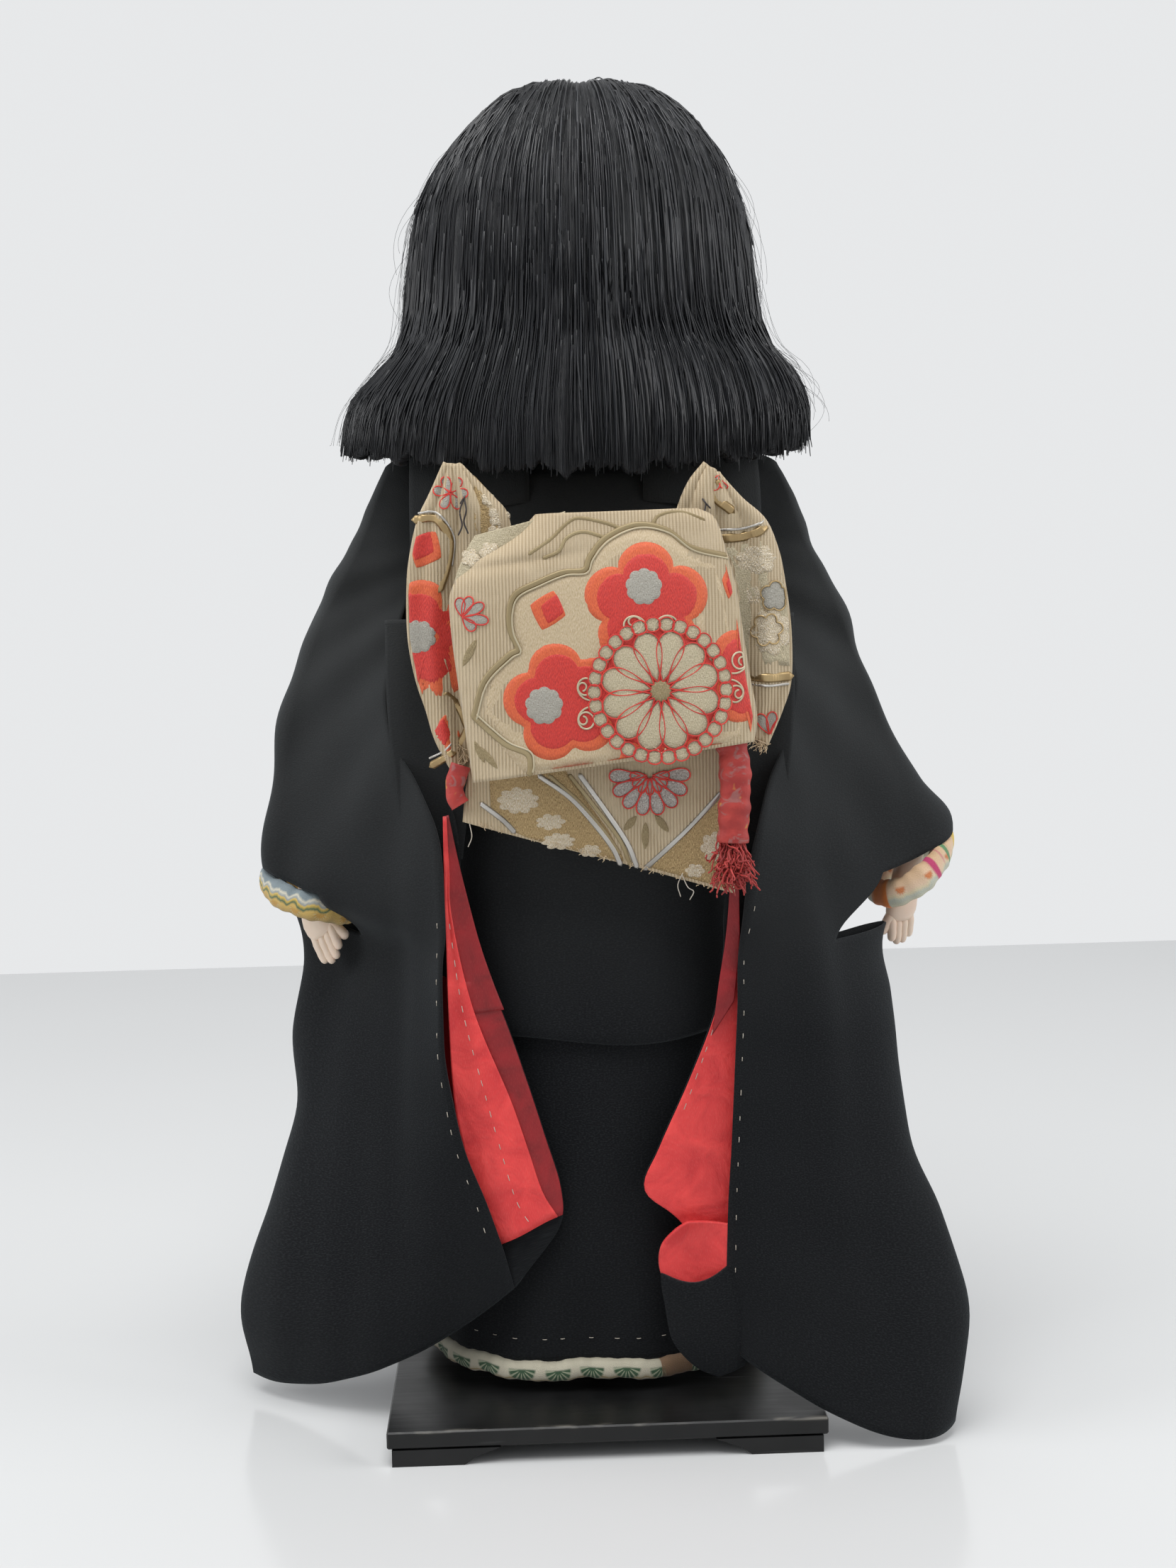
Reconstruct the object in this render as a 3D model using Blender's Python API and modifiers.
"""Ichimatsu doll on its lacquered stand.

The doll stands on the board in white socks, held up by a post under the kimono. Its back faces +Y
and its face looks towards -Y, its own left hand is at +X, and +Z is up. The origin is on the table,
under the middle of the whole piece. Sizes below are in millimetres and MM turns them into metres.
"""
import math

import bmesh
import bpy
import numpy as np
from mathutils import Matrix, Vector

MM = 0.001

# Clearances between pieces that rest on or lie against each other
FIT = 0.3
EASE = 0.7
SLACK = 1.3

# Stand: a board on four corner brackets
STAND_WIDTH = 141.0
STAND_DEPTH = 145.0
STAND_Y = -1.5
BOARD_THICKNESS = 5.6
FOOT_HEIGHT = 5.4
FOOT_WALL = 8.0
FOOT_SOLE = 23.0
FOOT_SPREAD = 11.5
FOOT_INSET = 1.6
POST_RADIUS = 3.5
POST_SEAT = 3.0
POST_GRIP = 14.0

# Body under the clothes
SOLE_SIZE = (9.5, 6.6)
LEG_SPREAD = 19.0
LEG_SIDES = 8
SHIN_TOP = 78.0
KNEE_RADIUS = 12.0
HIP_BOTTOM = 128.0
THIGH_RADIUS = 15.0
HIP_TOP = 172.0
HIP_HALF = (35.0, 24.0)
WAIST_TOP = 205.0
WAIST_HALF = (27.0, 20.0)
CHEST_TOP = 302.0
CHEST_HALF = (36.0, 23.0)
PADDING = (212.0, 262.0)
NECK_RADIUS = 13.0
NECK_BOTTOM = 292.0
SOCK_WALL = 0.7

# Head and hair
CHIN = 326.0
CROWN = 437.0
HEAD_HALF_WIDTH = 43.0
HEAD_FRONT = 41.0
HEAD_BACK = 44.0
HEAD_RISE = CROWN - CHIN
EYE_HEIGHT = CHIN + 0.414 * HEAD_RISE
EYE_SPREAD = 16.5
EYE_RADIUS = 6.2
HAIR_TOP = CROWN + 9.0
HAIR_HALF_WIDTH = 58.5
HAIR_HALF_DEPTH = 52.0
HEAD_SIDES = 24
HAIR_CREASE = 366.0
HAIR_FLARE = 20.0
HAIR_END_SIDE = 325.0
HAIR_END_BACK = 314.0
FRINGE_END = CHIN + 0.585 * HEAD_RISE
FACE_ANGLE = 54.0
HAIR_CREASE_SHARE = 0.58

# Kimono
CLOTH = 0.8
HEM = 22.0
HEM_ROLL = 2.9
TUCK = 132.0
TUCK_STEP = 2.2
SKIRT_LOW = 60.0
SKIRT_MIDDLE = 100.0
ARMHOLE_LOW = 262.0
ARMHOLE_MIDDLE = 290.0
SHOULDER = 312.0
YOKE = 315.5
NECK_TOP = 319.0
WRAP = 35.0
WRAP_GAP = 1.3
COLLAR_WIDTH = 8.0
COLLAR_WALL = 1.0
COLLAR_OUT = 3.5
LINING = 0.6
CUFF_ROLL = 4.1
CUFF_SIDES = 6

# Obi, bow and sash
OBI_BOTTOM = 205.0
OBI_TOP = 275.0
OBI_WALL = 1.6
BOW_CLOTH = 1.2
SASH_HEIGHT = 230.0
SASH_RADIUS = 4.2
SASH_HALF = (4.8, 3.6)
SASH_ENDS = 118.0

COLOURS = {
    "hair": ((0.012, 0.012, 0.014), 0.35, 0.0),
    "gofun": ((0.83, 0.72, 0.62), 0.45, 0.0),
    "glass": ((0.03, 0.02, 0.015), 0.08, 0.0),
    "white_cotton": ((0.86, 0.85, 0.82), 0.9, 0.0),
    "black_crepe": ((0.018, 0.019, 0.021), 0.85, 0.0),
    "red_silk": ((0.75, 0.06, 0.08), 0.55, 0.0),
    "dyed_crepe": ((0.72, 0.55, 0.3), 0.8, 0.0),
    "pine_crepe": ((0.78, 0.74, 0.62), 0.8, 0.0),
    "brocade": ((0.72, 0.6, 0.42), 0.5, 0.1),
    "red_cord": ((0.62, 0.03, 0.03), 0.7, 0.0),
    "lacquer": ((0.01, 0.01, 0.011), 0.3, 0.0),
    "bare_wood": ((0.5, 0.36, 0.22), 0.7, 0.0),
    "sawdust_board": ((0.6, 0.5, 0.4), 0.8, 0.0),
}

BOARD_TOP = FOOT_HEIGHT + FIT + BOARD_THICKNESS
SOLE = BOARD_TOP + FIT


def material(name):
    """The finish of that name, made once."""
    found = bpy.data.materials.get(name)
    if found:
        return found
    colour, roughness, metallic = COLOURS[name]
    made = bpy.data.materials.new(name)
    made.use_nodes = True
    shader = made.node_tree.nodes["Principled BSDF"]
    shader.inputs["Base Color"].default_value = (*colour, 1.0)
    shader.inputs["Roughness"].default_value = roughness
    shader.inputs["Metallic"].default_value = metallic
    made.diffuse_color = (*colour, 1.0)
    return made


def add(name, mesh, finish, collection=None):
    """Put a mesh in the doll's collection as one named piece."""
    piece = bpy.data.objects.new(name, mesh)
    mesh.materials.append(material(finish))
    (collection or DOLL).objects.link(piece)
    mesh.shade_smooth()
    mesh.set_sharp_from_angle(angle=math.radians(40))
    return piece


def mesh_of(name, points, faces):
    """A mesh from points in millimetres, with its faces turned outwards."""
    mesh = bpy.data.meshes.new(name)
    mesh.from_pydata([tuple(float(c) * MM for c in p) for p in points], [], faces)
    work = bmesh.new()
    work.from_mesh(mesh)
    bmesh.ops.delete(work, geom=[v for v in work.verts if not v.link_faces], context="VERTS")
    bmesh.ops.recalc_face_normals(work, faces=work.faces)
    work.to_mesh(mesh)
    work.free()
    return mesh


def grid_faces(rows, columns, wrap=False, skip=None):
    """Quads of a grid of points, row after row; skip(row, column) leaves a quad out."""
    faces = []
    last = columns if wrap else columns - 1
    for i in range(rows - 1):
        for j in range(last):
            if skip and skip(i, j):
                continue
            k = (j + 1) % columns
            faces.append((i * columns + j, i * columns + k, (i + 1) * columns + k, (i + 1) * columns + j))
    return faces


def sheet(name, grid, wall, finish, wrap=False, skip=None):
    """A cloth sheet: a grid of points (rows, columns, 3) given its thickness half to each side."""
    rows, columns = grid.shape[:2]
    mesh = mesh_of(name, grid.reshape(-1, 3), grid_faces(rows, columns, wrap, skip))
    piece = add(name, mesh, finish)
    solid = piece.modifiers.new("cloth", "SOLIDIFY")
    solid.thickness = wall * MM
    solid.offset = 0.0
    return piece


def wall_between(name, outer, inner, faces, finish, caps=()):
    """A closed solid between two grids of equal size: their faces, and a rim where the faces end."""
    size = outer.shape[0] * outer.shape[1]
    points = list(outer.reshape(-1, 3)) + list(inner.reshape(-1, 3)) + list(caps)
    used = {}
    for face in faces:
        for a, b in zip(face, face[1:] + face[:1]):
            used[(a, b)] = True
    made = list(faces)
    made += [tuple(v + (size if v < size else 1 if v == 2 * size else 0) for v in reversed(f)) for f in faces]
    for a, b in used:
        if (b, a) not in used:
            made.append((a, b, size + b, size + a))
    return add(name, mesh_of(name, points, made), finish)


def loft(name, rings, finish):
    """A closed solid through rings of points of equal count, flat at both ends."""
    count = len(rings[0])
    points = [p for ring in rings for p in ring]
    faces = grid_faces(len(rings), count, wrap=True)
    faces.append(tuple(range(count)))
    faces.append(tuple(range(len(points) - count, len(points))))
    return add(name, mesh_of(name, points, faces), finish)


def puff(name, mid, half, finish):
    """A padded flat form: a grid of middle points, thickened to both sides by half (rows, columns)."""
    normal = np.cross(np.gradient(mid, axis=0), np.gradient(mid, axis=1))
    normal /= np.linalg.norm(normal, axis=2, keepdims=True)
    push = normal * half[..., None]
    return wall_between(name, mid + push, mid - push, grid_faces(*mid.shape[:2]), finish)


def curve_through(points, count):
    """Points spread evenly in length along a smooth curve through the given points."""
    knots = np.array(points, float)
    if len(knots) == 2:
        return knots[0] + (knots[1] - knots[0]) * np.linspace(0, 1, count)[:, None]
    padded = np.vstack([2 * knots[0] - knots[1], knots, 2 * knots[-1] - knots[-2]])
    t = np.linspace(0, 1, 25)[:, None]
    spans = []
    for a, b, c, d in zip(padded, padded[1:], padded[2:], padded[3:]):
        spans.append(0.5 * (2 * b + (c - a) * t + (2 * a - 5 * b + 4 * c - d) * t ** 2
                            + (3 * b - a - 3 * c + d) * t ** 3))
    dense = np.vstack(spans)
    length = np.concatenate([[0], np.cumsum(np.linalg.norm(np.diff(dense, axis=0), axis=1))])
    wanted = np.linspace(0, length[-1], count)
    return np.stack([np.interp(wanted, length, dense[:, k]) for k in range(dense.shape[1])], axis=1)


def ring_along(centre, direction, half_a, half_b, sides, up=(0, 0, 1)):
    """An ellipse of points round a centre, square to a direction, half_a across and half_b up."""
    forward = Vector(direction).normalized()
    side = forward.cross(Vector(up)).normalized()
    over = side.cross(forward)
    made = []
    for k in range(sides):
        turn = 2 * math.pi * k / sides
        made.append(tuple(Vector(centre) + side * half_a * math.cos(turn) + over * half_b * math.sin(turn)))
    return made


def limb(name, stations, sides, finish, up=(0, 1, 0)):
    """A closed form round a path of stations (centre, half_a, half_b)."""
    centres = [Vector(s[0]) for s in stations]
    rings = []
    for k, (_, half_a, half_b) in enumerate(stations):
        ahead = centres[min(k + 1, len(centres) - 1)] - centres[max(k - 1, 0)]
        rings.append(ring_along(centres[k], ahead, half_a, half_b, sides, up))
    return loft(name, rings, finish)


def oval(angle, half_x, half_y, square=2.0):
    """A point of an oval at an angle in radians, with its middle at zero; square above 2 fills corners."""
    c, s = np.cos(angle), np.sin(angle)
    reach = (np.abs(c) ** square + np.abs(s) ** square) ** (-1.0 / square)
    return half_x * c * reach, half_y * s * reach


def oval_rings(heights, halves, sides, square=2.0, middle=(0.0, 0.0)):
    """Level rings of an upright form: one (half_x, half_y) for each height."""
    turn = np.linspace(0, 2 * math.pi, sides, endpoint=False)
    rings = []
    for z, (half_x, half_y) in zip(heights, halves):
        x, y = oval(turn, half_x, half_y, square)
        rings.append([(middle[0] + a, middle[1] + b, z) for a, b in zip(x, y)])
    return rings


def cut(piece, cutter):
    """Take a cutter away from a piece."""
    cutter.hide_render = True
    cutter.display_type = "WIRE"
    step = piece.modifiers.new("cut", "BOOLEAN")
    step.operation = "DIFFERENCE"
    step.solver = "EXACT"
    step.object = cutter


def cylinder_cutter(name, radius, low, high, middle=(0.0, 0.0), sides=14):
    """An upright round cutter."""
    work = bmesh.new()
    place = Matrix.Translation((middle[0] * MM, middle[1] * MM, (low + high) / 2 * MM))
    bmesh.ops.create_cone(work, cap_ends=True, segments=sides, radius1=radius * MM, radius2=radius * MM,
                          depth=(high - low) * MM, matrix=place)
    mesh = bpy.data.meshes.new(name)
    work.to_mesh(mesh)
    work.free()
    return add(name, mesh, "bare_wood", CUTTERS)


def mix(a, b, t):
    return a + (b - a) * t


def stand():
    """The lacquered board and its four corner brackets, cut away between them as finger room."""
    work = bmesh.new()
    size = Matrix.Diagonal((STAND_WIDTH * MM, STAND_DEPTH * MM, BOARD_THICKNESS * MM, 1.0))
    middle = Matrix.Translation((0, STAND_Y * MM, (BOARD_TOP - BOARD_THICKNESS / 2) * MM))
    bmesh.ops.create_cube(work, size=1.0, matrix=middle @ size)
    mesh = bpy.data.meshes.new("stand_board")
    work.to_mesh(mesh)
    work.free()
    board = add("stand_board", mesh, "lacquer")
    edge = board.modifiers.new("edge", "BEVEL")
    edge.width = 0.5 * MM
    edge.segments = 1
    hole = cylinder_cutter("post_hole", POST_RADIUS + FIT, BOARD_TOP - POST_SEAT, BOARD_TOP + 5)
    cut(board, hole)
    for name, sx, sy in (("back_left", 1, 1), ("back_right", -1, 1), ("front_left", 1, -1), ("front_right", -1, -1)):
        levels = []
        for z, spread in ((0.0, 0.0), (FOOT_HEIGHT * 0.45, FOOT_SPREAD * 0.3), (FOOT_HEIGHT, FOOT_SPREAD)):
            reach = FOOT_SOLE + spread
            corner = [(0, 0), (reach, 0), (reach, FOOT_WALL), (FOOT_WALL, FOOT_WALL), (FOOT_WALL, reach), (0, reach)]
            x0 = STAND_WIDTH / 2 - FOOT_INSET
            y0 = STAND_DEPTH / 2
            levels.append([(sx * (x0 - a), STAND_Y + sy * (y0 - b), z) for a, b in corner])
        loft("stand_foot_" + name, levels, "lacquer")
    top = HIP_BOTTOM + POST_GRIP
    loft("support_post", oval_rings((BOARD_TOP - POST_SEAT + FIT, top), [(POST_RADIUS, POST_RADIUS)] * 2, 12),
         "bare_wood")


FOOT_PATH = [(-30.0, -1.0, 0.42, 0.55), (-26.0, -0.3, 0.82, 0.82), (-14.0, 0.3, 1.0, 1.0), (-5.0, 2.5, 0.97, 1.18),
             (0.0, 9.0, 0.95, 1.25), (1.2, 20.0, 0.9, 1.15), (1.2, 30.0, 0.92, 1.2)]


def foot_rings(x, grow):
    """Rings round a foot and ankle from the toes up, grown outwards by a distance."""
    lift = SOLE + SOLE_SIZE[1]
    half_a = SOLE_SIZE[0] - SOCK_WALL - FIT
    half_b = SOLE_SIZE[1] - SOCK_WALL - FIT
    centres = [Vector((x, y, lift + z)) for y, z, _, _ in FOOT_PATH]
    rings = []
    for k, (_, _, a, b) in enumerate(FOOT_PATH):
        ahead = centres[min(k + 1, len(centres) - 1)] - centres[max(k - 1, 0)]
        rings.append(ring_along(centres[k], ahead, half_b * b + grow, half_a * a + grow, LEG_SIDES, (1, 0, 0)))
    return rings


def leg(side, name):
    """One lower leg with its foot, the sock over it and the stuffed thigh above."""
    x = side * LEG_SPREAD
    rings = foot_rings(x, 0.0)
    for z, radius in ((SHIN_TOP - 22.0, KNEE_RADIUS), (SHIN_TOP, KNEE_RADIUS)):
        rings.append(ring_along((x, 1.2, z), (0, 0, 1), radius, radius, LEG_SIDES, (1, 0, 0)))
    loft("lower_leg_" + name, rings, "gofun")
    loops = foot_rings(x, SOCK_WALL / 2 + FIT)[:-1]
    front = [(a, b - SOCK_WALL / 2 - FIT, c) for a, b, c in loops[0]]
    points = [p for loop in [front] + loops for p in loop]
    faces = grid_faces(len(loops) + 1, LEG_SIDES, wrap=True)
    faces.append(tuple(range(LEG_SIDES)))
    made = add("sock_" + name, mesh_of("sock_" + name, points, faces), "white_cotton")
    solid = made.modifiers.new("cloth", "SOLIDIFY")
    solid.thickness = SOCK_WALL * MM
    solid.offset = 0.0
    low, high = SHIN_TOP + FIT, HIP_BOTTOM - FIT
    loft("thigh_" + name, oval_rings((low, (low + high) / 2, high), [(KNEE_RADIUS - 0.5,) * 2, (THIGH_RADIUS,) * 2,
                                     (THIGH_RADIUS - 1.5,) * 2], 10, middle=(x, 1.0)), "white_cotton")


def trunk():
    """Hips, stuffed waist and chest, with the sockets for the post and for the neck."""
    hips = loft("hips", oval_rings((HIP_BOTTOM, HIP_BOTTOM + 8, HIP_TOP - 8, HIP_TOP),
                                   [(HIP_HALF[0] * s, HIP_HALF[1] * s) for s in (0.88, 1.0, 0.98, 0.84)], 12, 2.4),
                "sawdust_board")
    socket = cylinder_cutter("hip_socket", POST_RADIUS + FIT, HIP_BOTTOM - 5, HIP_BOTTOM + POST_GRIP + FIT, sides=14)
    cut(hips, socket)
    loft("waist", oval_rings((HIP_TOP + FIT, (HIP_TOP + WAIST_TOP) / 2, WAIST_TOP - FIT),
                             [WAIST_HALF, (WAIST_HALF[0] + 2, WAIST_HALF[1] + 2), WAIST_HALF], 14), "white_cotton")
    chest = loft("chest", oval_rings((WAIST_TOP, WAIST_TOP + 12, CHEST_TOP - 36, CHEST_TOP - 10, CHEST_TOP),
                                     [(CHEST_HALF[0] * a, CHEST_HALF[1] * b) for a, b in
                                      ((0.76, 0.84), (0.84, 0.94), (0.98, 1.0), (0.94, 0.9), (0.6, 0.72))], 14, 2.4),
                 "sawdust_board")
    neck_hole = cylinder_cutter("neck_socket", NECK_RADIUS + FIT * 2, NECK_BOTTOM - FIT, CHEST_TOP + 5, sides=14)
    cut(chest, neck_hole)
    turn = np.linspace(0, 2 * math.pi, 16, endpoint=False)
    outer, inner = [], []
    for z in (PADDING[0], (PADDING[0] + PADDING[1]) / 2, PADDING[1]):
        half_x, half_y = robe_half(z)
        slim = WRAP_GAP + CLOTH / 2 + FIT + EASE
        x, y = oval(turn, half_x - slim, half_y - slim, 2.3)
        outer.append(np.stack(np.broadcast_arrays(x, y, z), axis=-1))
        x, y = oval(turn, CHEST_HALF[0] + FIT, CHEST_HALF[1] + FIT, 2.4)
        inner.append(np.stack(np.broadcast_arrays(x, y, z), axis=-1))
    wall_between("waist_padding", np.array(outer), np.array(inner), grid_faces(3, 16, wrap=True), "white_cotton")


def head_reach(angle, z):
    """Half width and depth of the head at a height, as a point of its plan oval at an angle."""
    t = np.clip((z - CHIN) / (CROWN - CHIN), 0.0, 1.0)
    below = np.clip((0.5 - t) / 0.5, 0.0, 1.0)
    above = np.clip((t - 0.5) / 0.5, 0.0, 1.0)
    width = HEAD_HALF_WIDTH * (1.0 - below ** 2.6) ** 0.55 * (1.0 - above ** 2.2) ** 0.5
    front = HEAD_FRONT * (1.0 - below ** 3.2) ** 0.5 * (1.0 - above ** 2.4) ** 0.5
    back = HEAD_BACK * (1.0 - below ** 1.9) ** 0.8 * (1.0 - above ** 2.4) ** 0.5
    depth = np.where(np.sin(angle) > 0, back, front)
    return oval(angle, width, depth, 2.15)


FACE_SHARES = (0.018, 0.054, 0.108, 0.162, 0.198, 0.243, 0.297, 0.351, 0.405)
SCALP_SHARES = (0.468, 0.522, 0.585, 0.685, 0.784, 0.874, 0.946, 0.986)
HAIR_SHARES = (0.956, 0.891, 0.782, 0.618, 0.382, 0.0)
FACE_HEIGHTS = [CHIN + share * HEAD_RISE for share in FACE_SHARES]
SCALP_HEIGHTS = [CHIN + share * HEAD_RISE for share in SCALP_SHARES]
NOSE_HEIGHT = CHIN + 0.306 * HEAD_RISE
BRIDGE_HEIGHT = CHIN + 0.396 * HEAD_RISE
LIP_HEIGHT = CHIN + 0.194 * HEAD_RISE
CHIN_HEIGHT = CHIN + 0.081 * HEAD_RISE


def face_relief(angle, z):
    """How far the face stands out of the plain oval: nose, lips, chin, and the hollows of the eyes."""
    off = (angle + math.pi / 2 + math.pi) % (2 * math.pi) - math.pi
    across = off * HEAD_FRONT
    nose = 4.2 * np.exp(-(across / 3.4) ** 2 - ((z - NOSE_HEIGHT) / 5.5) ** 2)
    bridge = 1.2 * np.exp(-(across / 3.6) ** 2 - ((z - BRIDGE_HEIGHT) / 7.0) ** 2)
    lips = 1.5 * np.exp(-(across / 5.5) ** 2 - ((z - LIP_HEIGHT) / 3.2) ** 2)
    chin = 1.4 * np.exp(-(across / 8.0) ** 2 - ((z - CHIN_HEIGHT) / 4.5) ** 2)
    eyes = -1.6 * np.exp(-((np.abs(across) - EYE_SPREAD) / 7.0) ** 2 - ((z - EYE_HEIGHT) / 5.0) ** 2)
    return nose + bridge + lips + chin + eyes


def head():
    """The head with its neck plug, the eye sockets and the two glass eyes in them."""
    sides = HEAD_SIDES
    turn = np.linspace(0, 2 * math.pi, sides, endpoint=False)
    rings = oval_rings((NECK_BOTTOM, CHIN - 6.0), [(NECK_RADIUS, NECK_RADIUS), (NECK_RADIUS - 1, NECK_RADIUS - 1)],
                       sides, middle=(0.0, 0.0))
    for z in (*FACE_HEIGHTS, *SCALP_HEIGHTS):
        x, y = head_reach(turn, z)
        grow = 1.0 + face_relief(turn, z) / HEAD_FRONT
        rings.append([(a * g, b * g, z) for a, b, g in zip(x, y, grow)])
    made = loft("head", rings, "gofun")
    for side, name in ((1, "left"), (-1, "right")):
        x = side * EYE_SPREAD
        angle = math.atan2(-math.sqrt(max(HEAD_FRONT ** 2 - x ** 2, 1.0)), x)
        _, front = head_reach(np.array([angle]), EYE_HEIGHT)
        y = float(front[0]) + EYE_RADIUS * 0.86
        for grown, label in ((FIT, "eye_socket_"), (0.0, "eye_")):
            work = bmesh.new()
            place = Matrix.Translation((x * MM, y * MM, EYE_HEIGHT * MM))
            bmesh.ops.create_uvsphere(work, u_segments=10, v_segments=6, radius=(EYE_RADIUS + grown) * MM, matrix=place)
            mesh = bpy.data.meshes.new(label + name)
            work.to_mesh(mesh)
            work.free()
            if grown:
                cut(made, add(label + name, mesh, "gofun", CUTTERS))
            else:
                add(label + name, mesh, "glass")


def hair():
    """The bobbed hair: smooth over the crown, parted on top, its cut ends flaring outwards."""
    sides = HEAD_SIDES
    turn = np.linspace(0, 2 * math.pi, sides, endpoint=False)
    back_share = np.clip(np.sin(turn), 0, 1) ** 1.5
    low = mix(HAIR_END_SIDE, HAIR_END_BACK, back_share)
    scalp = SCALP_HEIGHTS[::-1]
    outer_top = [mix(FRINGE_END, HAIR_TOP, share) for share in HAIR_SHARES]
    outer, inner = [], []
    fall_rows = (1.0, 0.8, HAIR_CREASE_SHARE, 0.32, 0.16, 0.0)
    levels = list(zip(outer_top, scalp))
    for z_out, z_in in levels:
        outer.append((np.full(sides, z_out), np.full(sides, z_in)))
    for share in fall_rows[1:]:
        z = mix(low, FRINGE_END, share)
        outer.append((z, z))
    for k, (z_out, z_in) in enumerate(outer):
        fall = np.clip((HAIR_TOP - z_out) / (HAIR_TOP - HAIR_CREASE), 0.0, 1.0)
        round_off = np.sqrt(np.clip(1.0 - (1.0 - fall) ** 2.1, 0.0, 1.0))
        kick = HAIR_FLARE * np.clip((HAIR_CREASE - z_out) / (HAIR_CREASE - HAIR_END_SIDE - 8.0), 0.0, 1.1) ** 1.3
        flare = kick * mix(1.0, 0.35, back_share)
        x, y = oval(turn, HAIR_HALF_WIDTH * round_off + flare, HAIR_HALF_DEPTH * round_off + flare, 2.2)
        outer[k] = np.stack([x, y, z_out], axis=-1)
        x, y = head_reach(turn, np.maximum(z_in, EYE_HEIGHT))
        size = np.hypot(x, y)
        room = np.clip((FRINGE_END - z_in) / 40.0, 0, 1) * 3.0
        scale = (size + EASE + room) / size
        inner.append(np.stack([x * scale, y * scale, z_in + EASE * (k < len(levels) - 1)], axis=-1))
    outer, inner = np.array(outer), np.array(inner)
    rows = len(outer)
    half_step = math.pi / sides
    front = np.abs((turn + half_step - 1.5 * math.pi + math.pi) % (2 * math.pi) - math.pi)

    def face_opening(i, j):
        return i >= len(levels) - 1 and front[j] < math.radians(FACE_ANGLE)

    faces = grid_faces(rows, sides, wrap=True, skip=face_opening)
    size = rows * sides
    faces += [(2 * size, (j + 1) % sides, j) for j in range(sides)]
    caps = [(0.0, 0.0, HAIR_TOP - 2.0), (0.0, 0.0, CROWN + EASE)]
    wall_between("hair", outer, inner, faces, "hair", caps)


ROBE_HEIGHTS = (HEM, SKIRT_LOW, SKIRT_MIDDLE, TUCK, 160.0, OBI_BOTTOM, 240.0, ARMHOLE_LOW, OBI_TOP, ARMHOLE_MIDDLE,
                SHOULDER, YOKE, NECK_TOP)
ROBE_WIDTHS = (57.0, 54.0, 51.5, 50.0, 50.0, 46.5, 44.5, 45.5, 47.0, 52.0, 50.5, 40.0, 24.0)
ROBE_DEPTHS = (45.0, 44.5, 44.0, 43.5, 43.5, 40.5, 38.0, 37.0, 36.0, 33.0, 28.0, 24.0, 20.0)


def robe_half(z):
    """Half width and half depth of the kimono's middle surface at a height."""
    return np.interp(z, ROBE_HEIGHTS, ROBE_WIDTHS), np.interp(z, ROBE_HEIGHTS, ROBE_DEPTHS)


def robe_ends(z):
    """Angles where the wrapped front begins and ends: crossed at the waist, parted at the neck."""
    part = np.clip((z - OBI_TOP + 4.0) / (NECK_TOP - OBI_TOP + 4.0), 0.0, 1.0)
    start = -90.0 + mix(WRAP, -42.0, part)
    end = -450.0 + mix(-WRAP, 42.0, part)
    return np.radians(start), np.radians(end)


def robe_point(angle, z, out=0.0):
    """A point of the kimono's surface, pushed outwards by a distance."""
    half_x, half_y = robe_half(z)
    tuck = TUCK_STEP * ((z > TUCK + 0.5) & (z < OBI_BOTTOM))
    fold = 1.0 * np.clip((TUCK - z) / (TUCK - HEM), 0, 1) * np.sin(5 * angle + 0.03 * z)
    x, y = oval(angle, half_x + out + tuck + fold, half_y + out + tuck + fold, 2.3)
    return np.stack(np.broadcast_arrays(x, y, z), axis=-1)


def kimono():
    """The kimono's body: one cloth wrapped left over right, with its tuck below the obi and armholes."""
    columns = 22
    heights = np.sort(np.array([*ROBE_HEIGHTS, TUCK + 1.5]))
    rows = []
    for z in heights:
        start, end = robe_ends(z)
        turn = np.linspace(start, end, columns)
        spread = mix(-WRAP_GAP, WRAP_GAP, np.linspace(0, 1, columns))
        rows.append(robe_point(turn, np.full(columns, z), spread))
    grid = np.array(rows)
    row_of = int(np.argmin(np.abs(heights - ARMHOLE_LOW)))

    def armhole(i, j):
        middle = grid[i, j:j + 2].mean(axis=0)
        return row_of <= i <= row_of + 2 and abs(middle[1]) < 20.0

    sheet("kimono_body", grid, CLOTH, "black_crepe", skip=armhole)
    under = []
    slim = WRAP_GAP + CLOTH / 2 + EASE + LINING / 2
    for z in (HEM + 8, SKIRT_LOW, SKIRT_MIDDLE, TUCK, OBI_BOTTOM):
        half_x, half_y = robe_half(z)
        turn = np.linspace(0, 2 * math.pi, 14, endpoint=False)
        x, y = oval(turn, half_x - slim - 1.2, half_y - slim - 1.2, 2.3)
        under.append(np.stack(np.broadcast_arrays(x, y, z), axis=-1))
    sheet("underskirt", np.array(under), LINING, "red_silk", wrap=True)
    roll = []
    stations = 23
    for t in np.linspace(0.0, 1.0, stations):
        angle = math.radians(-90.0 - WRAP - 2.0 - 355.0 * t)
        middle = robe_point(angle, HEM, WRAP_GAP * (2 * t - 1) + 0.4)
        middle[2] = HEM - HEM_ROLL - FIT
        ahead = (math.sin(angle) * 57.0, -math.cos(angle) * 45.0, 0.0)
        roll.append(ring_along(middle, ahead, HEM_ROLL, HEM_ROLL, 6))
    loft("hem_roll", roll, "pine_crepe")


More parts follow.
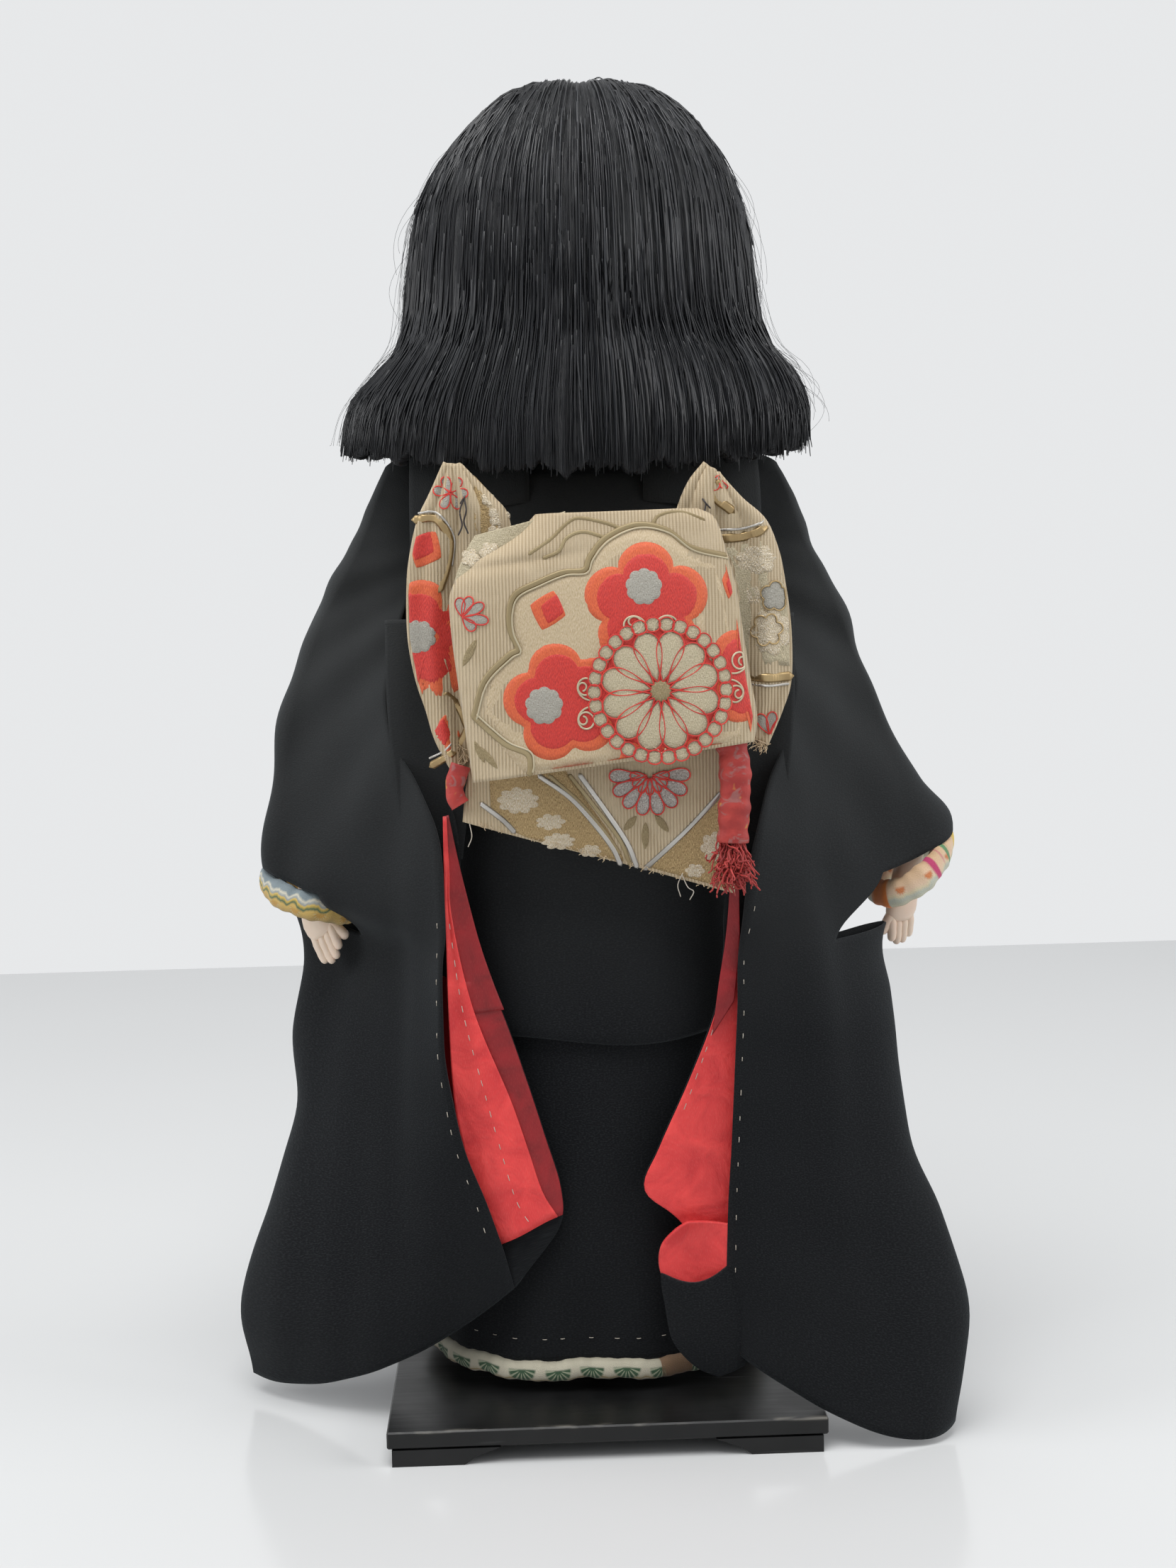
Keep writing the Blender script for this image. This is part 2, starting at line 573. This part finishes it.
def collar(name, out, lowest, show, rise, finish):
    """A band down the two crossing edges of the front and standing round the back of the neck.

    Out is its distance from the kimono's surface, show how far it reaches past the kimono's edge, and rise
    its lower and upper height at the back, above the kimono's neck line.
    """
    rows = []

    def front(z, edge, way):
        angle = robe_ends(z)[edge]
        reach = np.linalg.norm(robe_point(angle, z)[:2])
        lift = math.copysign(EASE + FIT, out) * (z > SHOULDER)
        pair = [robe_point(angle + way * shift / reach, z, out) for shift in (COLLAR_WIDTH - show, -show)]
        rows.append([point + (0.0, 0.0, lift) for point in pair])

    for z in (lowest, ARMHOLE_MIDDLE, mix(ARMHOLE_MIDDLE, SHOULDER, 0.5), SHOULDER, YOKE):
        front(z, 1, 1)
    for degrees, share in zip((-42, -18, 15, 55, 90, 125, 165, 198, 222), (0.35, 1, 1, 1, 1, 1, 1, 1, 0.35)):
        half_x, half_y = robe_half(NECK_TOP)
        x, y = oval(math.radians(degrees), half_x + out, half_y + out, 2.3)
        rows.append([(x, y, NECK_TOP + rise[0]), (x, y, NECK_TOP + mix(rise[0], rise[1], share))])
    for z in (YOKE, SHOULDER, mix(ARMHOLE_MIDDLE, SHOULDER, 0.6)):
        front(z, 0, -1)
    grid = np.array(rows)
    for turn_in in (5, 13):
        grid[turn_in, 0] = mix(grid[turn_in - 1, 0], grid[turn_in + 1, 0], 0.5)
    sheet(name, grid, COLLAR_WALL, finish)


# Sleeves: each row runs from the open body side to the wrist side as (inner, bend, outer) points, from
# the shoulder down to the bottom seam, with half the sleeve's thickness at the inner and outer side.
SLEEVE_LEFT = [
    ((51.0, 2, 322), (60, 2, 325), (67, 2, 320), 2, 2.5),
    ((54.0, 2, 311), (63, 2, 313), (71.5, 2, 311), 11, 10.5),
    ((56.2, 3, 292), (68, 3, 292), (80.5, 2, 291), 12, 12),
    ((59.0, 10, 267), (78, 4, 269), (94.5, 2.5, 266), 10, 12),
    ((62.0, 30, 236), (86, 6, 238), (103.5, 4, 237), 6.5, 12),
    ((48.5, 48, 203), (88, 11, 206), (108, 5, 211), 5, 12),
    ((46.5, 52, 172), (88, 12, 176), (112, 5, 186), 3.4, 12),
    ((46.6, 52, 157), (73, 12, 159), (104, -12, 169), 3.4, 3.4),
    ((46.7, 52, 138), (76, 16, 140), (100, -11, 150), 3.4, 4),
    ((45.5, 52, 118), (80, 26, 118), (105, -6, 125), 3.4, 5),
    ((42.0, 52, 96), (84, 34, 94), (103, 0, 100), 3.4, 6),
    ((36.0, 52, 78), (90, 38, 66), (113, 4, 68), 3.4, 6),
    ((32.0, 52, 64), (92, 40, 34), (124, 8, 34), 3, 5),
    ((29.0, 52, 50), (84, 40, 4), (121, 9.5, 7), 1.0, 1.2),
]
SLEEVE_RIGHT = [
    ((-51.0, 2, 322), (-60, 2, 325), (-66.5, 2, 320), 2, 2.5),
    ((-54.0, 2, 311), (-63, 2, 313), (-70.5, 2, 311), 11, 10.5),
    ((-56.2, 3, 292), (-67, 3, 292), (-78.5, 2, 291), 12, 12),
    ((-59.0, 10, 267), (-76, 4, 269), (-90.5, 2.5, 265), 10, 12),
    ((-62.0, 30, 237), (-84, 6, 238), (-100, 4, 237), 6.5, 12),
    ((-49.0, 48, 203), (-92, 11, 203), (-113, 5, 211), 5, 12),
    ((-46.0, 52, 176), (-97, 14, 174), (-124.5, 5, 194.5), 3.4, 12),
    ((-45.0, 52, 160), (-76, 46, 160), (-99, 22, 163), 3.4, 4),
    ((-44.5, 52, 140), (-78, 50, 140), (-99.5, 26, 140), 3.4, 5),
    ((-43.5, 52, 118), (-80, 53, 116), (-100.5, 32, 116), 3.4, 6),
    ((-42.5, 52, 96), (-82, 56, 92), (-102, 38, 93), 3.4, 7),
    ((-41.5, 52, 76), (-88, 61, 68), (-110.5, 45, 70), 3.4, 7),
    ((-41.0, 52.5, 52), (-92, 71, 34), (-118, 52, 40), 3, 6.5),
    ((-39.5, 53, 30), (-94, 82, -5.5), (-113.5, 61, 4.5), 1.0, 1.4),
]
# Where the far layer of each sleeve ends, towards the middle of the back, from the cuff row down
FAR_EDGE_LEFT = [(42, 171), (38, 157), (31, 141), (24, 120), (18, 100), (13, 82), (14, 69), (27, 52)]
FAR_EDGE_RIGHT = [(-41.5, 174), (-41, 160), (-38, 140), (-29, 117), (-19, 95), (-14, 79), (-17.5, 52), (-35, 29)]
FAR_EDGE_Y = 49.2
CUFF_ROW = 6
SEAT_ROW = 1
SLEEVE_SAMPLES = (0.0, 0.2, 0.4, 0.58, 0.74, 0.86, 0.95)


def sleeve_row(row, samples, tip, slim):
    """One section of a sleeve: out along the near layer, round the wrist side, back along the far layer."""
    inner, bend, outer = (np.array(p, float) for p in row[:3])
    t = np.array([*samples, tip])[:, None]
    middle = (1 - t) ** 2 * inner + 2 * t * (1 - t) * bend + t ** 2 * outer
    slope = 2 * (1 - t) * (bend - inner) + 2 * t * (outer - bend)
    normal = np.stack([-slope[:, 1], slope[:, 0], np.zeros(len(t))], axis=1)
    normal /= np.linalg.norm(normal, axis=1, keepdims=True)
    normal *= np.sign(normal[:, 1:2] + 1e-9)
    half = mix(row[3], row[4], t[:, 0]) - slim
    shoulder = tip - 0.22
    half *= np.sqrt(np.clip(1.0 - (np.clip(t[:, 0] - shoulder, 0, 1) / 0.22) ** 2, 0.0, 1.0))
    near = middle + normal * half[:, None]
    far = middle - normal * half[:, None]
    return np.vstack([near, far[-2::-1]])


def sleeve(side, name, rows, far_edge):
    """One long sleeve: near and far layer joined at the wrist side, open towards the body and at the cuff."""
    seated = []
    for k, row in enumerate(rows):
        row = list(row)
        if k == SEAT_ROW:
            _, y, z = row[0]
            row[0] = (side * (robe_half(z)[0] + WRAP_GAP + CLOTH / 2 + FIT * 2), y, z)
        seated.append(row)
    grid = []
    for k, row in enumerate(seated):
        loop = sleeve_row(row, SLEEVE_SAMPLES, 1.0, 0.0)
        last = loop[-1]
        if k >= CUFF_ROW:
            x, z = far_edge[k - CUFF_ROW]
            end = np.array([x, FAR_EDGE_Y, z], float)
        else:
            end = last + np.array([-side * 1.6, 0.8, 0.0])
        loop = np.vstack([loop, mix(last, end, 0.5), end])
        grid.append(loop)
    grid = np.array(grid)
    tip = len(SLEEVE_SAMPLES)

    def opening(i, j):
        return i == CUFF_ROW and tip - 5 <= j <= tip + 4

    sheet("sleeve_" + name, grid, CLOTH, "black_crepe", skip=opening)
    inside = []
    samples = tuple(s * 0.93 for s in SLEEVE_SAMPLES)
    for k in range(CUFF_ROW + 1, len(rows) - 1):
        row = list(seated[k])
        loop = sleeve_row(row, samples, 0.93, 1.4)
        last = loop[-1]
        x, z = far_edge[k - CUFF_ROW]
        end = np.array([x, FAR_EDGE_Y + 1.3, z], float)
        loop = np.vstack([loop, mix(last, end, 0.5), end])
        inside.append(loop)
    sheet("sleeve_lining_" + name, np.array(inside), LINING, "red_silk")
    cuff = seated[CUFF_ROW]
    outer, bend = np.array(cuff[2], float), np.array(cuff[1], float)
    direction = (outer - bend) / np.linalg.norm(outer - bend)
    drop = np.array([0, 0, -(CUFF_ROLL + CLOTH / 2)])
    centre = outer - direction * 17.5 + drop
    across = np.cross(direction, (0, 0, 1))
    across /= np.linalg.norm(across)
    points = []
    count = 14
    for k in range(count):
        turn = 2 * math.pi * k / count
        mid = centre + direction * 14.0 * math.cos(turn) + across * 12.0 * math.sin(turn)
        ahead = -direction * 14.0 * math.sin(turn) + across * 12.0 * math.cos(turn)
        points.append(ring_along(mid, ahead, CUFF_ROLL, CUFF_ROLL, CUFF_SIDES))
    flat = [p for ring in points for p in ring]
    faces = []
    for i in range(count):
        for j in range(CUFF_SIDES):
            a, b = i * CUFF_SIDES, ((i + 1) % count) * CUFF_SIDES
            faces.append((a + j, a + (j + 1) % CUFF_SIDES, b + (j + 1) % CUFF_SIDES, b + j))
    add("cuff_roll_" + name, mesh_of("cuff_roll_" + name, flat, faces), "dyed_crepe")


# Arms: path points from the shoulder to the wrist, and the hand's direction
ARM_LEFT = {"shoulder": (36.2, 1, 295), "upper": (64, 3, 288), "elbow": (90, 7, 246), "wrist": (96.5, 8, 182),
            "palm": (94, 9, 166), "tips": (87, 14.5, 153)}
ARM_RIGHT = {"shoulder": (-36.3, 1, 295), "upper": (-63, 3, 288), "elbow": (-87, 7, 246), "wrist": (-111, 9, 186),
             "palm": (-108.5, 7, 166), "tips": (-107, 5, 152.5)}
UPPER_ARM_RADIUS = 9.0
ELBOW_RADIUS = 7.5
WRIST_RADIUS = 4.6
HAND_HALF = (6.6, 3.9)
FINGER_RADIUS = 1.9


def arm(side, name, path):
    """The stuffed upper arm, and the forearm with its hand and five fingers."""
    point = {key: Vector(value) for key, value in path.items()}
    bend = (point["elbow"] - point["upper"]).normalized() * FIT
    upper = limb("upper_arm_" + name, [(point["shoulder"], 7.0, 7.0), (point["upper"], UPPER_ARM_RADIUS, UPPER_ARM_RADIUS),
                                       (point["elbow"] - bend, ELBOW_RADIUS, ELBOW_RADIUS)], 10, "white_cotton", up=(0, 1, 0))
    lower = point["wrist"] - point["elbow"]
    start = point["elbow"] + lower.normalized() * (FIT + ELBOW_RADIUS * math.sin(bend.angle(lower)))
    across = Vector((side * 0.55, 0.8, 0.0)).normalized()
    stations = [(start, 7.0, 7.0), (point["elbow"].lerp(point["wrist"], 0.5), 6.6, 6.6),
                (point["wrist"], WRIST_RADIUS, WRIST_RADIUS), (point["wrist"].lerp(point["palm"], 0.5), 5.2, 4.2),
                (point["palm"], *HAND_HALF), (point["palm"].lerp(point["tips"], 0.25), 6.2, 3.3)]
    forearm = limb("forearm_" + name, stations, 10, "gofun", up=tuple(across))
    reach = point["tips"] - point["palm"]
    width = reach.cross(across).normalized()
    fingers = [(-4.6, 0.84), (-1.55, 0.98), (1.55, 1.0), (4.6, 0.9)]
    for k, (offset, length) in enumerate(fingers):
        base = point["palm"] + width * offset + reach * 0.1
        tip = point["palm"] + width * offset * 0.86 + reach * length + across * 1.2
        shape = limb(f"finger_{name}_{k}", [(base, FINGER_RADIUS, FINGER_RADIUS),
                                            (base.lerp(tip, 0.6), FINGER_RADIUS, FINGER_RADIUS),
                                            (base.lerp(tip, 0.93), FINGER_RADIUS * 0.9, FINGER_RADIUS * 0.9),
                                            (tip, FINGER_RADIUS * 0.5, FINGER_RADIUS * 0.5)], 6, "gofun",
                     up=tuple(across))
        join(forearm, shape)
    inward = width * (1 if width.x * side < 0 else -1)
    base = point["palm"] + reach * 0.2 + inward * 2.0
    tip = point["palm"] + inward * 6.6 + reach * 0.72 - across * 1.0
    thumb = limb("thumb_" + name, [(base, 2.2, 2.2), (base.lerp(tip, 0.6), 2.1, 2.1), (tip, 1.1, 1.1)], 6, "gofun",
                 up=tuple(across))
    join(forearm, thumb)


def join(piece, other):
    """Fuse another closed form into a piece."""
    for owner in list(other.users_collection):
        owner.objects.unlink(other)
    CUTTERS.objects.link(other)
    other.hide_render = True
    other.display_type = "WIRE"
    step = piece.modifiers.new("join", "BOOLEAN")
    step.operation = "UNION"
    step.solver = "EXACT"
    step.object = other


def panel(left, right, rows, columns, depth):
    """A grid between a left and a right edge, both (x, z) curves from top to bottom; depth(u, v) is its y."""
    a = curve_through(left, rows)
    b = curve_through(right, rows)
    u = np.linspace(0, 1, columns)[None, :]
    v = np.linspace(0, 1, rows)[:, None]
    x = mix(a[:, 0:1], b[:, 0:1], u)
    z = mix(a[:, 1:2], b[:, 1:2], u)
    y = depth(u, v) + 0 * x
    return np.stack([x, y, z], axis=2), u, v


WING_LEFT = ([(45, 316), (54, 298), (58, 276), (56, 249), (50, 229), (42, 216)],
             [(37, 312), (28, 304), (22, 284), (20, 262), (22, 240), (30, 220)])
WING_RIGHT = ([(-34, 314), (-26, 303), (-22, 284), (-21, 262), (-26, 244), (-42, 232)],
              [(-42, 309), (-55, 297), (-62, 274), (-63, 249), (-60, 237), (-55, 227)])
FLAP = ([(9, 301), (27, 289), (40, 274), (44, 260), (41, 236), (38, 217)],
        [(-36, 301), (-41, 291), (-45, 272), (-48, 252), (-50, 236), (-49, 226)])
KNOT_HALF = (20.0, 11.0)
KNOT_HEIGHT = 252.0
FOLD_LOW = KNOT_HEIGHT + KNOT_HALF[1] + 9.0
FOLD = ([(26, FOLD_LOW + 21), (30, FOLD_LOW + 12), (34, FOLD_LOW + 2)],
        [(6, FOLD_LOW + 28), (6, FOLD_LOW + 14), (6, FOLD_LOW)])
TAIL_TOP = KNOT_HEIGHT - KNOT_HALF[1] - 1.0
TAIL = ([(36, TAIL_TOP), (40.5, 220), (42, 203)], [(-40, TAIL_TOP), (-43.5, 210), (-43, 179)])
FLAP_Y = 72.0
WING_Y = 57.0
TAIL_Y = 58.5
BOW_X = -1.0
PAD_HALF = (24.0, 15.0)
PAD_HEIGHT = 268.0
PAD_DEPTH = 12.0
KNOT_SINK = 2.9


def obi_half(z):
    """Half width and half depth of the sash band's middle surface at a height."""
    ends = (OBI_BOTTOM, (OBI_BOTTOM + OBI_TOP) / 2, OBI_TOP)
    out = WRAP_GAP + CLOTH / 2 + OBI_WALL / 2 + SLACK
    half_x, half_y = robe_half(np.array(ends))
    out = out + np.array((TUCK_STEP, 0.0, 0.0))
    return np.interp(z, ends, half_x + out), np.interp(z, ends, half_y + out)


def obi():
    """The broad sash band, the pad and knot behind the bow, and the bow's folded cloths."""
    turn = np.linspace(0, 2 * math.pi, 22, endpoint=False)
    rows = []
    for z in (OBI_BOTTOM, (OBI_BOTTOM + OBI_TOP) / 2, OBI_TOP):
        x, y = oval(turn, *obi_half(z), 2.3)
        rows.append(np.stack(np.broadcast_arrays(x, y, z), axis=-1))
    sheet("obi_band", np.array(rows), OBI_WALL, "brocade", wrap=True)
    pad_low = obi_half(PAD_HEIGHT - PAD_HALF[1])[1] + OBI_WALL / 2 + FIT
    pad_high = pad_low + PAD_DEPTH
    block("bow_pad", pad_low, pad_high, PAD_HALF, PAD_HEIGHT)
    block("bow_knot", pad_high + FIT, FLAP_Y - KNOT_SINK, KNOT_HALF, KNOT_HEIGHT)
    for name, edges in (("left", WING_LEFT), ("right", WING_RIGHT)):
        grid, u, v = panel(*edges, 9, 7, wing_depth)
        half = BOW_CLOTH / 2 + 2.0 * np.sin(math.pi * u) ** 0.7 * np.sin(math.pi * mix(0.12, 0.9, v))
        puff("bow_wing_" + name, grid, half, "brocade")
    grid, u, v = panel(*FLAP, 8, 8, flap_depth)
    puff("bow_flap", grid, BOW_CLOTH / 2 + 0.4 * np.sin(math.pi * u) + 0 * v, "brocade")
    grid, u, v = panel(*FOLD, 4, 4, lambda u, v: FLAP_Y - 8.5 + 1.4 * v + 0 * u)
    sheet("bow_fold", grid, BOW_CLOTH, "brocade")
    grid, u, v = panel(*TAIL, 5, 9, lambda u, v: TAIL_Y + 0.9 * np.sin(2.5 * math.pi * u) * v)
    sheet("bow_tail", grid, BOW_CLOTH, "brocade")


def wing_depth(u, v):
    """How far back a wing of the bow lies: it leans in towards its lower end, in soft pleats."""
    return WING_Y - 3.0 * v + 1.6 * np.sin(3 * math.pi * u) * (0.4 + v * 0.6)


def flap_depth(u, v):
    """How far back the bow's flap lies: rounded over at its top and at both sides."""
    return FLAP_Y - 3.2 * (2 * u - 1) ** 2 - 4.0 * (1 - v) ** 2


def block(name, low, high, half, height):
    """A stuffed block of cloth between two depths."""
    turn = np.linspace(0, 2 * math.pi, 14, endpoint=False)
    rings = []
    for share, size in ((0.0, 0.86), (0.3, 1.0), (0.75, 1.0), (1.0, 0.84)):
        x, z = oval(turn, half[0] * size, half[1] * size, 2.6)
        rings.append([(a + BOW_X, mix(low, high, share), height + b) for a, b in zip(x, z)])
    loft(name, rings, "brocade")


def sash():
    """The padded red cord round the obi and its two ends, the right one frayed into a tassel."""
    stations = 22
    height = SASH_HEIGHT
    half = [h + OBI_WALL / 2 + SASH_RADIUS + FIT for h in obi_half(height - SASH_RADIUS)]
    rings = []
    for k in range(stations):
        turn = math.radians(SASH_ENDS) + math.radians(540.0 - 2 * SASH_ENDS) * k / (stations - 1)
        x, y = oval(turn, *half, 2.3)
        ahead = (-math.sin(turn) * half[0], math.cos(turn) * half[1], 0.0)
        rings.append(ring_along((float(x), float(y), height), ahead, SASH_RADIUS, SASH_RADIUS, 6))
    loft("sash_cord", rings, "red_cord")
    y = TAIL_Y + 0.9 + BOW_CLOTH / 2 + FIT + SASH_HALF[1]
    a, b = SASH_HALF
    limb("sash_end_right", [((-41.5, y - 0.4, 231), 2.6, 2.6), ((-43.5, y, 224), a * 0.95, b * 0.9),
                            ((-43.8, y, 210), a, b), ((-42.7, y, 198), a * 0.96, b), ((-42.7, y, 194.6), 3.2, 2.8)],
         8, "red_cord", up=(0, 1, 0))
    limb("sash_tassel_right", [((-42.7, y, 194.6 - FIT), 3.0, 2.8), ((-42.7, y, 190), 5.2, 4.0),
                               ((-43.4, y + 0.8, 185), 6.4, 4.4), ((-45.5, y + 0.8, 181.5), 3.0, 2.0)],
         8, "red_cord", up=(0, 1, 0))
    y = TAIL_Y + BOW_CLOTH / 2 + FIT + 2.2
    limb("sash_end_left", [((42.0, y, 220), 2.2, 2.0), ((44.0, y, 213), 3.2, 2.4), ((43.4, y, 206), 2.4, 2.0),
                           ((41.5, y, 203.5), 1.0, 1.0)], 8, "red_cord", up=(0, 1, 0))


for old in list(bpy.data.objects):
    bpy.data.objects.remove(old, do_unlink=True)
DOLL = bpy.data.collections.new("ichimatsu_doll")
CUTTERS = bpy.data.collections.new("cutters")
bpy.context.scene.collection.children.link(DOLL)
bpy.context.scene.collection.children.link(CUTTERS)

stand()
leg(1, "left")
leg(-1, "right")
trunk()
head()
hair()
kimono()
collar("kimono_collar", COLLAR_OUT, OBI_TOP + 7.0, 0.5, (1.2, 9.2), "black_crepe")
collar("under_collar", -COLLAR_OUT - SLACK - FIT, OBI_TOP + 10.0, 2.5, (-5.0, 10.0), "white_cotton")
sleeve(1, "left", SLEEVE_LEFT, FAR_EDGE_LEFT)
sleeve(-1, "right", SLEEVE_RIGHT, FAR_EDGE_RIGHT)
arm(1, "left", ARM_LEFT)
arm(-1, "right", ARM_RIGHT)
obi()
sash()
